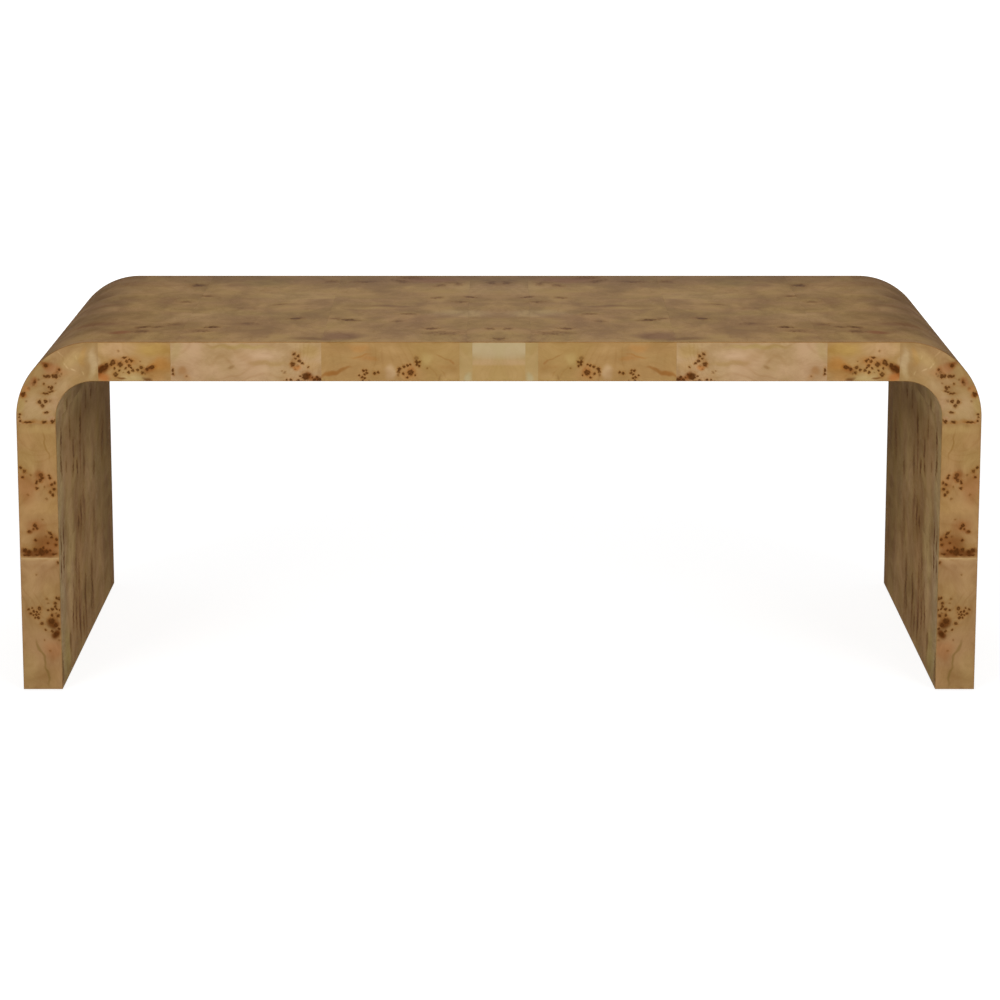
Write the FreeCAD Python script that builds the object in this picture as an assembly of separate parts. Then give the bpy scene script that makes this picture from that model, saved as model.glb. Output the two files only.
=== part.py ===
import FreeCAD, Part
import math
import os

# A waterfall coffee table. Its thick top turns down at both ends, over a rounded corner, into a slab
# leg. The top, the two corners and the two legs are hollow: thin skins are glued on a timber frame,
# the five boxes are doweled end to end, and leaves of burl veneer cover every face that shows.
# Millimetres. X runs along the table, Y from its front to its rear and Z up. The origin is on the
# floor under the table's middle. Left is towards -X, and the front faces -Y.

# The whole table
table_length = 1220.0
table_depth = 610.0
table_height = 452.0
slab_thickness = 50.0
inner_bend_radius = 47.0
corner_shoulder = 8.0  # straight part of a corner box past each end of its bend
foot_lift = 1.5  # how far the glides hold the legs off the floor

# Layers of the slab, from its outer face inwards, and the same from its inner face
veneer_thickness = 0.6
skin_thickness = 6.0

# Timber frames inside the top and the legs
rail_width = 45.0
rib_thickness = 18.0
top_rib_count = 7
leg_rib_count = 2

# Formers across the inside of a corner
former_thickness = 18.0
middle_former_count = 3

# Dowels between the boxes
dowel_diameter = 8.0
dowel_length = 50.0
dowel_count = 5
dowel_edge_distance = 50.0  # from the frame's front or rear face to the first dowel's axis
dowel_side_gap = 0.05
dowel_end_gap = 1.0
dowel_cover = 6.0  # timber left past the end of a dowel's hole

# Glides nailed under the legs
glide_diameter = 22.0
glide_thickness = 4.0
glide_edge_radius = 0.8
glide_side_gap = 0.3
glide_edge_distance = 40.0  # from the frame's front or rear face to the first glide's axis
glide_count = 3
nail_diameter = 2.4
nail_length = 18.0
nail_head_diameter = 7.0
nail_head_thickness = 1.0
nail_head_recess = 0.6  # how far the nail's head lies above the glide's sole
nail_side_gap = 0.05
nail_end_gap = 1.0

# Joints between leaves of veneer
face_joint_shares = (0.081, 0.444, 0.806)  # across the top, of half its box, from the middle
edge_joint_shares = (0.066, 0.098, 0.443, 0.819)  # along its edges, of half its box as well
outer_corner_joint_shares = (0.5,)  # round the outer bend, of its quarter turn
inner_corner_joint_shares = ()
leg_leaf_count = 2

# Places worked out from those sizes
bend_radius = inner_bend_radius + slab_thickness
outer_face = -table_length / 2  # of the left leg, along X
flat_half_length = table_length / 2 - bend_radius
box_half_length = flat_half_length - corner_shoulder
leg_top = table_height - bend_radius - corner_shoulder
half_depth = table_depth / 2
frame_half_depth = half_depth - veneer_thickness
frame_depth = veneer_thickness + skin_thickness
skin_back_depth = slab_thickness - veneer_thickness
frame_back_depth = slab_thickness - frame_depth
end_member_width = dowel_length / 2 + dowel_end_gap + dowel_cover
quarter_turn = math.pi / 2

# A station is a place along the slab's section: how far out from the table's middle on the flat,
# how far round the bend, and how far down past the bend.
bend_start = (flat_half_length, 0.0, 0.0)
bend_end = (flat_half_length, quarter_turn, 0.0)
corner_start = (box_half_length, 0.0, 0.0)
corner_end = (flat_half_length, quarter_turn, corner_shoulder)


def leg_station(height):
    """The station on the leg at a height above the floor."""
    return (flat_half_length, quarter_turn, table_height - bend_radius - height)


def section_point(place, depth):
    """The point of the left half's section at a station, at a depth under the outer face."""
    flat, angle, down = place
    radius = bend_radius - depth
    x = -(flat + radius * math.sin(angle))
    z = table_height - bend_radius + radius * math.cos(angle) - down
    return FreeCAD.Vector(x, 0, z)


def section_edges(stops, depth):
    """Lines and arcs through a list of stations, all at one depth."""
    edges = []
    for here, there in zip(stops, stops[1:]):
        start, end = section_point(here, depth), section_point(there, depth)
        if here[1] == there[1]:
            edges.append(Part.LineSegment(start, end).toShape())
        else:
            halfway = (flat_half_length, (here[1] + there[1]) / 2, 0.0)
            edges.append(Part.Arc(start, section_point(halfway, depth), end).toShape())
    return edges


def layer(start, end, near, far, front, rear):
    """A layer of the left half between two stations, two depths and two places along Y."""
    bends = [place for place in (bend_start, bend_end) if start < place < end]
    stops = [start, *bends, end]
    edges = section_edges(stops, near)
    edges.append(Part.LineSegment(section_point(end, near), section_point(end, far)).toShape())
    edges.extend(section_edges(stops[::-1], far))
    edges.append(Part.LineSegment(section_point(start, far), section_point(start, near)).toShape())
    face = Part.Face(Part.Wire(edges))
    solid = face.extrude(FreeCAD.Vector(0, rear - front, 0))
    return solid.translated(FreeCAD.Vector(0, front, 0))


def block(low, high):
    """A box between its lowest and its highest corner."""
    size = [end - start for start, end in zip(low, high)]
    return Part.makeBox(*size, FreeCAD.Vector(*low))


def rod(radius, length, foot, direction):
    """A round rod from its foot along a direction."""
    return Part.makeCylinder(radius, length, foot, direction)


def mirrored(shape):
    """The same piece at the right-hand end."""
    return shape.mirror(FreeCAD.Vector(0, 0, 0), FreeCAD.Vector(1, 0, 0))


def both_ends(shapes):
    """Left-hand pieces with their mirror images."""
    return [*shapes, *(mirrored(shape) for shape in shapes)]


def spread(low, high, count):
    """Evenly spaced places with the first at one end and the last at the other."""
    if count == 1:
        return [(low + high) / 2]
    return [low + (high - low) * n / (count - 1) for n in range(count)]


def between(low, high, thickness, count):
    """Near and far faces of evenly spaced boards that leave equal bays inside a span."""
    bay = (high - low - count * thickness) / (count + 1)
    starts = [low + bay + n * (bay + thickness) for n in range(count)]
    return [(start, start + thickness) for start in starts]


# Where the dowels and the glides stand: in the middle of the slab, and spread along its depth
slab_middle_x = outer_face + slab_thickness / 2
slab_middle_z = table_height - slab_thickness / 2
dowel_end = frame_half_depth - dowel_edge_distance
dowel_places = spread(-dowel_end, dowel_end, dowel_count)
glide_end = frame_half_depth - glide_edge_distance
glide_places = spread(-glide_end, glide_end, glide_count)


def dowels(joint, direction, side_gap, end_gap):
    """Rods across the joint between two boxes, with a gap round them and past each end."""
    radius = dowel_diameter / 2 + side_gap
    reach = dowel_length / 2 + end_gap
    feet = [joint - direction * reach + FreeCAD.Vector(0, y, 0) for y in dowel_places]
    return [rod(radius, reach * 2, foot, direction) for foot in feet]


along = FreeCAD.Vector(1, 0, 0)
upward = FreeCAD.Vector(0, 0, 1)
top_joint = FreeCAD.Vector(-box_half_length, 0, slab_middle_z)
leg_joint = FreeCAD.Vector(slab_middle_x, 0, leg_top)
top_dowels = dowels(top_joint, along, 0, 0)
leg_dowels = dowels(leg_joint, upward, 0, 0)
top_dowel_holes = dowels(top_joint, along, dowel_side_gap, dowel_end_gap)
leg_dowel_holes = dowels(leg_joint, upward, dowel_side_gap, dowel_end_gap)


def top_box():
    """Two skins on a frame of a front and a rear rail between two end rails, with cross ribs."""
    x, y = box_half_length, frame_half_depth
    rail_x = x - end_member_width
    rail_y = y - rail_width
    upper, lower = table_height - frame_depth, table_height - frame_back_depth
    end_rail = block((-x, -y, lower), (-rail_x, y, upper)).cut(top_dowel_holes)
    ribs = [
        block((start, -rail_y, lower), (end, rail_y, upper))
        for start, end in between(-rail_x, rail_x, rib_thickness, top_rib_count)
    ]
    return {
        "top_upper_skin": [block((-x, -y, upper), (x, y, table_height - veneer_thickness))],
        "top_lower_skin": [block((-x, -y, table_height - skin_back_depth), (x, y, lower))],
        "top_front_rail": [block((-rail_x, -y, lower), (rail_x, -rail_y, upper))],
        "top_rear_rail": [block((-rail_x, rail_y, lower), (rail_x, y, upper))],
        "left_top_end_rail": [end_rail],
        "right_top_end_rail": [mirrored(end_rail)],
        "top_cross_ribs": ribs,
    }


def corner_box():
    """Two bent skins over quarter-round formers, with a batten at each joint for the dowels."""
    y = frame_half_depth
    inner_y = y - former_thickness
    batten_x = -box_half_length - end_member_width
    batten_z = leg_top + end_member_width

    def core(front, rear):
        return layer(corner_start, corner_end, frame_depth, frame_back_depth, front, rear)

    at_top = block((batten_x, -y, leg_top), (-box_half_length, y, table_height))
    at_leg = block((outer_face, -y, leg_top), (-box_half_length, y, batten_z))
    middles = [
        core(front, rear).cut([at_top, at_leg])
        for front, rear in between(-inner_y, inner_y, former_thickness, middle_former_count)
    ]
    return {
        "corner_outer_skin": [
            layer(corner_start, corner_end, veneer_thickness, frame_depth, -y, y)
        ],
        "corner_inner_skin": [
            layer(corner_start, corner_end, frame_back_depth, skin_back_depth, -y, y)
        ],
        "corner_front_former": [core(-y, -inner_y)],
        "corner_rear_former": [core(inner_y, y)],
        "corner_middle_formers": middles,
        "corner_top_batten": [core(-inner_y, inner_y).common(at_top).cut(top_dowel_holes)],
        "corner_leg_batten": [core(-inner_y, inner_y).common(at_leg).cut(leg_dowel_holes)],
    }


# Heights of a glide's parts above the floor, and the sizes of its holes
nail_head_top = nail_head_recess + nail_head_thickness
nail_tip = nail_head_top + nail_length
nail_hole_radius = nail_diameter / 2 + nail_side_gap
nail_head_hole_radius = nail_head_diameter / 2 + nail_side_gap
glide_pocket_radius = glide_diameter / 2 + glide_side_gap


def standing(radius, low, high, y):
    """An upright rod in the middle of the leg, between two heights."""
    return rod(radius, high - low, FreeCAD.Vector(slab_middle_x, y, low), upward)


def glides():
    """Round nylon feet with a rounded sole edge, sunk in the foot rail and bored for their nails."""
    feet = []
    for y in glide_places:
        foot = standing(glide_diameter / 2, 0, glide_thickness, y)
        sole = [edge for edge in foot.Edges if edge.BoundBox.ZMax < glide_edge_radius]
        foot = foot.makeFillet(glide_edge_radius, sole)
        head_hole = standing(nail_head_hole_radius, 0, nail_head_top, y)
        feet.append(foot.cut([head_hole, standing(nail_hole_radius, 0, glide_thickness, y)]))
    return feet


def glide_nails():
    """Flat-headed steel nails, driven up through the glides into the foot rail."""
    nails = []
    for y in glide_places:
        head = standing(nail_head_diameter / 2, nail_head_recess, nail_head_top, y)
        shank = standing(nail_diameter / 2, nail_head_top, nail_tip, y)
        nails.append(head.fuse(shank).removeSplitter())
    return nails


def glide_pockets():
    """What the glides and their nails take out of a foot rail."""
    cuts = []
    for y in glide_places:
        cuts.append(standing(glide_pocket_radius, 0, glide_thickness, y))
        cuts.append(standing(nail_hole_radius, 0, nail_tip + nail_end_gap, y))
    return cuts


def leg_box():
    """Two skins on a frame of two stiles between a head rail and a foot rail, with cross ribs."""
    y = frame_half_depth
    stile_y = y - rail_width
    outer, inner = outer_face + frame_depth, outer_face + frame_back_depth
    head, foot = leg_top - end_member_width, foot_lift + rail_width
    head_rail = block((outer, -y, head), (inner, y, leg_top)).cut(leg_dowel_holes)
    foot_rail = block((outer, -y, foot_lift), (inner, y, foot)).cut(glide_pockets())
    ribs = [
        block((outer, -stile_y, low), (inner, stile_y, high))
        for low, high in between(foot, head, rib_thickness, leg_rib_count)
    ]
    outer_skin_face, inner_skin_face = outer_face + veneer_thickness, outer_face + skin_back_depth
    return {
        "leg_outer_skin": [block((outer_skin_face, -y, foot_lift), (outer, y, leg_top))],
        "leg_inner_skin": [block((inner, -y, foot_lift), (inner_skin_face, y, leg_top))],
        "leg_front_stile": [block((outer, -y, foot), (inner, -stile_y, head))],
        "leg_rear_stile": [block((outer, stile_y, foot), (inner, y, head))],
        "leg_head_rail": [head_rail],
        "leg_foot_rail": [foot_rail],
        "leg_cross_ribs": ribs,
    }


def joint_places(shares):
    """Where joints lie along X, at the same shares of the top box on both sides of its middle."""
    joints = [share * box_half_length for share in shares]
    return [*(-joint for joint in joints[::-1]), *joints]


def flat_leaves(places, near, far, front, rear):
    """Leaves side by side along X, each from one place to the next."""
    return [
        block((start, front, table_height - far), (end, rear, table_height - near))
        for start, end in zip(places, places[1:])
    ]


def corner_leaves(shares, near, far):
    """Leaves from the last joint across the top, round the bend, down to the end of the corner."""
    last_top_joint = (face_joint_shares[-1] * box_half_length, 0.0, 0.0)
    bend_joints = [(flat_half_length, share * quarter_turn, 0.0) for share in shares]
    stations = [last_top_joint, *bend_joints, corner_end]
    return [
        layer(first, last, near, far, -half_depth, half_depth)
        for first, last in zip(stations, stations[1:])
    ]


def leg_leaves(near, far, front, rear):
    """Leaves of equal height, one over the other on a leg."""
    heights = spread(foot_lift, leg_top, leg_leaf_count + 1)
    return [
        layer(leg_station(high), leg_station(low), near, far, front, rear)
        for low, high in zip(heights, heights[1:])
    ]


def veneers():
    """Every leaf of veneer: those that lie on the top, and the left-hand ones."""
    outer, inner = (0, veneer_thickness), (skin_back_depth, slab_thickness)
    whole_depth = (-half_depth, half_depth)
    face_places = joint_places(face_joint_shares)
    shared = {
        "top_veneer": flat_leaves(face_places, *outer, *whole_depth),
        "underside_veneer": flat_leaves(face_places, *inner, *whole_depth),
    }
    left = {
        "corner_outer_veneer": corner_leaves(outer_corner_joint_shares, *outer),
        "corner_inner_veneer": corner_leaves(inner_corner_joint_shares, *inner),
        "leg_outer_veneer": leg_leaves(*outer, *whole_depth),
        "leg_inner_veneer": leg_leaves(*inner, *whole_depth),
    }
    edge_places = [-box_half_length, *joint_places(edge_joint_shares), box_half_length]
    box_depths = (veneer_thickness, skin_back_depth)
    edges = {"front": (-half_depth, -frame_half_depth), "rear": (frame_half_depth, half_depth)}
    for edge, faces in edges.items():
        shared[f"{edge}_edge_veneer"] = flat_leaves(edge_places, *box_depths, *faces)
        left[f"corner_{edge}_veneer"] = [layer(corner_start, corner_end, *box_depths, *faces)]
        left[f"leg_{edge}_veneer"] = leg_leaves(*box_depths, *faces)
    return shared, left


def table():
    """Every node's solids by name."""
    shared_veneers, left_veneers = veneers()
    nodes = {**top_box(), **shared_veneers}
    for name, solids in {**corner_box(), **leg_box(), **left_veneers}.items():
        nodes[f"left_{name}"] = solids
        nodes[f"right_{name}"] = [mirrored(solid) for solid in solids]
    nodes["top_joint_dowels"] = both_ends(top_dowels)
    nodes["leg_joint_dowels"] = both_ends(leg_dowels)
    nodes["glides"] = both_ends(glides())
    nodes["glide_nails"] = both_ends(glide_nails())
    return nodes


os.makedirs("parts", exist_ok=True)
for node, solids in table().items():
    shape = solids[0] if len(solids) == 1 else Part.makeCompound(solids)
    shape.exportStep(f"parts/{node}.step")
    print(node, len(shape.Solids), "valid" if shape.isValid() else "NOT VALID", round(shape.Volume))
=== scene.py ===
import math

import bmesh
import bpy
import numpy
from mathutils import Matrix, Vector


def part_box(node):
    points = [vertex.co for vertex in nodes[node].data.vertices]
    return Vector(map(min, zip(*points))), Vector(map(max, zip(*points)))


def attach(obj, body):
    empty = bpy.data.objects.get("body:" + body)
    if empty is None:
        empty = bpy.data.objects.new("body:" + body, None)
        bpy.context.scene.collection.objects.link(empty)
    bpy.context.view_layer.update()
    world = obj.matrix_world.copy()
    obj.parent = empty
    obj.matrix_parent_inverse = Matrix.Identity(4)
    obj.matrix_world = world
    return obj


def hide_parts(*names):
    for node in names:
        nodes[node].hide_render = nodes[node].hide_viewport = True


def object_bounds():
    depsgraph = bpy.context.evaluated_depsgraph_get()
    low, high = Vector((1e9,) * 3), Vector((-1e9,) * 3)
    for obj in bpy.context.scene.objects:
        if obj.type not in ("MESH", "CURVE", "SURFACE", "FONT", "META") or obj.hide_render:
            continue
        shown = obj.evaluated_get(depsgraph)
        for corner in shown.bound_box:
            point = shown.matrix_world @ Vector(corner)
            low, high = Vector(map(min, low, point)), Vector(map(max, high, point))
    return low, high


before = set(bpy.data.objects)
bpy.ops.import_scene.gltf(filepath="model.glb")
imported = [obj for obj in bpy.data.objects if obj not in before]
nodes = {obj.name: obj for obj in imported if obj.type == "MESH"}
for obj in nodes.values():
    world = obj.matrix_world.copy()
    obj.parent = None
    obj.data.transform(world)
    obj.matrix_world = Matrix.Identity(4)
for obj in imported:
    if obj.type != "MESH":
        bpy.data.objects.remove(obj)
cad_low, cad_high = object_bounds()


# The frames inside the top and the legs, and the battens inside the corners. They are rails, stiles
# and ribs of sawn poplar, planed on four sides and glued between the skins. From outside only the
# foot rails can be seen, under the legs.
mm = 0.001
poplar_pale = (196, 170, 122)
poplar_dark = (168, 138, 92)
poplar_line_spacing = 3.5 * mm
poplar_pore_depth = 0.15 * mm
grain_stretch = 22.0
pores_to_a_line = 7.0


def colour(red, green, blue):
    """A colour for a shader, from the values that a screen shows."""
    shares = [value / 255 for value in (red, green, blue)]
    light = [s / 12.92 if s <= 0.04045 else ((s + 0.055) / 1.055) ** 2.4 for s in shares]
    return (*light, 1.0)


def new_finish(name):
    """An empty finish: the material, its node tree and its shader."""
    material = bpy.data.materials.new(name)
    material.use_nodes = True
    return material, material.node_tree, material.node_tree.nodes["Principled BSDF"]


def add(tree, kind, inputs, **settings):
    """A node with its settings and inputs. An input given as a socket is linked, another is set."""
    made = tree.nodes.new("ShaderNode" + kind)
    for setting, value in settings.items():
        setattr(made, setting, value)
    for place, value in inputs.items():
        if isinstance(value, bpy.types.NodeSocket):
            tree.links.new(value, made.inputs[place])
        else:
            made.inputs[place].default_value = value
    return made


def noise(tree, vector, scale, detail, roughness=0.5, distortion=0.0):
    """A noise texture's value between 0 and 1. Its scale is in waves to the metre."""
    inputs = {
        "Vector": vector, "Scale": scale, "Detail": detail, "Roughness": roughness,
        "Distortion": distortion,
    }
    return add(tree, "TexNoise", inputs).outputs["Fac"]


def between(tree, value, start, end, low=0.0, high=1.0):
    """A soft step that goes from low to high while a value goes from start to end."""
    inputs = {"Value": value, "From Min": start, "From Max": end, "To Min": low, "To Max": high}
    return add(tree, "MapRange", inputs, interpolation_type="SMOOTHSTEP").outputs["Result"]


def sum_of(tree, first, second, kind="ADD"):
    """Two values added, or joined by another kind of sum."""
    return add(tree, "Math", {0: first, 1: second}, operation=kind).outputs["Value"]


def blended(tree, share, first, second, kind="MIX"):
    """Two colours mixed, or the first one tinted by the second."""
    inputs = {0: share, 6: first, 7: second}
    return add(tree, "Mix", inputs, data_type="RGBA", blend_type=kind).outputs[2]


def times(tree, first, second):
    """Two values multiplied."""
    return sum_of(tree, first, second, "MULTIPLY")


def place_in(tree):
    """Where each point lies, in the space that all pieces share."""
    return add(tree, "TexCoord", {}).outputs["Object"]


def complete(tree, shader, shade, rough, height, depth):
    """Gives a finish its colour, roughness and bump. A height of 1 stands for the whole depth."""
    bump = add(tree, "Bump", {"Height": height, "Distance": depth, "Strength": 1.0})
    tree.links.new(shade, shader.inputs["Base Color"])
    tree.links.new(rough, shader.inputs["Roughness"])
    tree.links.new(bump.outputs["Normal"], shader.inputs["Normal"])


def sawn_wood(name, pale, dark, axis, line_spacing, pore_depth):
    """Planed timber: lines of pale and dark wood along one axis, with fine pores."""
    material, tree, shader = new_finish(name)
    across, along = 1 / line_spacing, 1 / (line_spacing * grain_stretch)
    stretch = [along if letter == axis else across for letter in "XYZ"]
    grain = add(tree, "Mapping", {"Vector": place_in(tree), "Scale": stretch}).outputs["Vector"]
    lines = noise(tree, grain, 1.0, 5.0, 0.6, 0.5)
    pores = noise(tree, grain, pores_to_a_line, 3.0, 0.7)
    wood = blended(tree, between(tree, lines, 0.3, 0.7), colour(*pale), colour(*dark))
    pored = between(tree, pores, 0.6, 0.75, 0.0, 0.4)
    wood = blended(tree, pored, wood, (0.6, 0.5, 0.4, 1.0), "MULTIPLY")
    rough = between(tree, lines, 0.2, 0.8, 0.6, 0.78)
    complete(tree, shader, wood, rough, pores, pore_depth)
    return material


def at_both_ends(*pieces):
    """The names of pieces at the left-hand and right-hand ends."""
    return [f"{end}_{piece}" for end in ("left", "right") for piece in pieces]


def dress(material, pieces):
    """Gives pieces of the frame their finish."""
    for piece in pieces:
        for slot in nodes[piece].material_slots:
            slot.material = material


poplar_grain = {
    "X": ["top_front_rail", "top_rear_rail"],
    "Y": ["top_cross_ribs", *at_both_ends(
        "top_end_rail", "corner_top_batten", "corner_leg_batten",
        "leg_head_rail", "leg_foot_rail", "leg_cross_ribs")],
    "Z": at_both_ends("leg_front_stile", "leg_rear_stile"),
}
for axis, pieces in poplar_grain.items():
    poplar = sawn_wood(
        f"poplar_{axis}", poplar_pale, poplar_dark, axis, poplar_line_spacing, poplar_pore_depth)
    dress(poplar, pieces)


# The formers inside the corners. They are quarter rounds cut from birch plywood, on which the bent
# skins are glued, and their cut rims show the plies.
ply_thickness = 1.5 * mm
fibre_scale = 700.0
fibre_depth = 0.1 * mm
birch_pale = (206, 178, 132)
birch_dark = (150, 112, 70)


def plies(name, pale, dark, ply_place):
    """Plywood, from a function that gives how far each point lies through the board."""
    material, tree, shader = new_finish(name)
    place = place_in(tree)
    count = sum_of(tree, ply_place(tree, place), 2 * ply_thickness, "DIVIDE")
    share = sum_of(tree, sum_of(tree, count, 0.0, "FRACT"), 1.0, "PINGPONG")
    fibre = noise(tree, place, fibre_scale, 4.0, 0.6)
    board = blended(tree, between(tree, share, 0.45, 0.55), colour(*pale), colour(*dark))
    fuzz = between(tree, fibre, 0.4, 0.7, 0.0, 0.5)
    board = blended(tree, fuzz, board, (0.8, 0.72, 0.6, 1.0), "MULTIPLY")
    rough = between(tree, fibre, 0.2, 0.8, 0.62, 0.8)
    complete(tree, shader, board, rough, fibre, fibre_depth)
    return material


def through_former(tree, place):
    """The place along Y, across the former's thickness."""
    return add(tree, "SeparateXYZ", {"Vector": place}).outputs["Y"]


birch = plies("birch_plywood", birch_pale, birch_dark, through_former)
dress(birch, at_both_ends("corner_front_former", "corner_rear_former", "corner_middle_formers"))


# The corners' inner and outer skins. Each is a pile of thin poplar plies, glued in a curved press
# and screwed down over the formers while the glue sets.
corner_shoulder = 8.0 * mm
corner_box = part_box("right_corner_front_veneer")
bend_x = corner_box[0].x + corner_shoulder
bend_z = corner_box[0].z + corner_shoulder
bent_pale = (190, 160, 112)
bent_dark = (158, 124, 80)


def through_bend(tree, place):
    """How far each point lies from the axis of the bend at its own end of the table."""
    apart = add(tree, "SeparateXYZ", {"Vector": place}).outputs
    out = sum_of(tree, sum_of(tree, apart["X"], 0.0, "ABSOLUTE"), bend_x, "SUBTRACT")
    up = sum_of(tree, apart["Z"], bend_z, "SUBTRACT")
    arm = add(tree, "CombineXYZ", {"X": out, "Z": up}).outputs["Vector"]
    return add(tree, "VectorMath", {0: arm}, operation="LENGTH").outputs["Value"]


bent_ply = plies("bent_plywood", bent_pale, bent_dark, through_bend)
dress(bent_ply, at_both_ends("corner_outer_skin", "corner_inner_skin"))


# The flat skins of the top and the legs. They are sheets of fine fibreboard, glued over the frames,
# and their cut lower edges can be seen under the legs.
fibreboard_pale = (176, 146, 104)
fibreboard_dark = (146, 116, 78)
felt_scale = 900.0
felt_depth = 0.08 * mm
flock_scale = 160.0

fibreboard, tree, shader = new_finish("fibreboard")
place = place_in(tree)
felt = noise(tree, place, felt_scale, 5.0, 0.75)
flock = between(tree, noise(tree, place, flock_scale, 3.0, 0.6), 0.4, 0.8, 0.0, 0.4)
board = blended(
    tree, between(tree, felt, 0.3, 0.7), colour(*fibreboard_pale), colour(*fibreboard_dark))
board = blended(tree, flock, board, (0.86, 0.82, 0.76, 1.0), "MULTIPLY")
rough = between(tree, felt, 0.2, 0.8, 0.75, 0.9)
complete(tree, shader, board, rough, felt, felt_depth)
dress(fibreboard, [
    "top_upper_skin", "top_lower_skin", *at_both_ends("leg_outer_skin", "leg_inner_skin")])


# The dowels between the boxes. They are turned beech pins, glued into the rails and battens on both
# sides of each joint.
beech_pale = (206, 168, 126)
beech_dark = (184, 140, 98)
beech_line_spacing = 1.2 * mm
beech_pore_depth = 0.05 * mm

for axis, piece in (("X", "top_joint_dowels"), ("Z", "leg_joint_dowels")):
    beech = sawn_wood(
        f"beech_{axis}", beech_pale, beech_dark, axis, beech_line_spacing, beech_pore_depth)
    dress(beech, [piece])


# The glides under the legs. They are round feet of moulded nylon, sunk in the foot rails, so that
# the table slides and the veneer's lower edge stays off the floor.
nylon_clean = (206, 200, 184)
nylon_worn = (150, 142, 126)
scuff_scale = 240.0
mould_scale = 1800.0
mould_depth = 0.03 * mm

nylon, tree, shader = new_finish("nylon")
place = place_in(tree)
scuffs = noise(tree, place, scuff_scale, 4.0, 0.7, 1.5)
worn = between(tree, scuffs, 0.55, 0.75, 0.0, 0.5)
shade = blended(tree, worn, colour(*nylon_clean), colour(*nylon_worn))
rough = between(tree, scuffs, 0.3, 0.8, 0.35, 0.6)
complete(tree, shader, shade, rough, noise(tree, place, mould_scale, 2.0), mould_depth)
dress(nylon, ["glides"])


# The nails through the glides. They are zinc-plated steel with flat heads, driven up into the foot
# rails until the heads lie inside the glides.
zinc_bright = (178, 178, 174)
zinc_dull = (132, 132, 130)
spangle_scale = 1100.0
spangle_depth = 0.01 * mm

zinc, tree, shader = new_finish("zinc_plated_steel")
spangle = noise(tree, place_in(tree), spangle_scale, 3.0, 0.6)
plating = blended(
    tree, between(tree, spangle, 0.3, 0.7), colour(*zinc_bright), colour(*zinc_dull))
shader.inputs["Metallic"].default_value = 1.0
rough = between(tree, spangle, 0.2, 0.8, 0.3, 0.5)
complete(tree, shader, plating, rough, spangle, spangle_depth)
dress(zinc, ["glide_nails"])


# The leaves on the front edges. They are short pieces of poplar burl veneer, each cut from another
# part of the burl, butted end to end and pressed on before the faces are veneered.
table_end = cad_high.x
table_top = cad_high.z
table_rear = cad_high.y
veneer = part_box("top_veneer")[1].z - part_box("top_veneer")[0].z
slab_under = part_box("underside_veneer")[0].z
leg_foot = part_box("right_leg_front_veneer")[0].z
outer_bend = table_top - bend_z
bend_start = bend_x
bend_end = bend_start + outer_bend * math.pi / 2
line_end = bend_end + bend_z - leg_foot
joint_gap = 0.06 * mm
edge_weave = 0.8 * mm
least_run = 0.01 * mm
crease = math.radians(20)

# The marks in the leaves are written in millimetres: how far in from the table's end, then how
# far down from its top. A wash is a soft patch: its place, half its length and width, its turn,
# its strength and its colour. An eye is a small round knot: its place and radius. A knot is a
# long one: its place, half its length and width, and its turn. A faint eye is one that lies
# deeper in the wood. Figure is how strongly the wood's own figure shows, and sway is how far the
# washes wander.
front_leaves = {}
front_leaves["middle"] = {
    "ground": (168, 138, 86), "figure": 0.35, "sway": 0.2,
    "washes": [
        (610, 8, 80, 16, 0, 1, (179, 158, 120)), (610, 26, 80, 4, 0, 0.7, (178, 148, 106)),
        (590, 42, 10, 7, 0, 0.25, (180, 148, 98)),
    ],
}
front_leaves["slip"] = {
    "ground": (170, 141, 95), "figure": 0.45, "sway": 0.5,
    "washes": [(571, 45, 5, 7, 0, 0.8, (172, 156, 118)), (566, 12, 5, 9, 0, 0.2, (168, 138, 84))],
}
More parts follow.
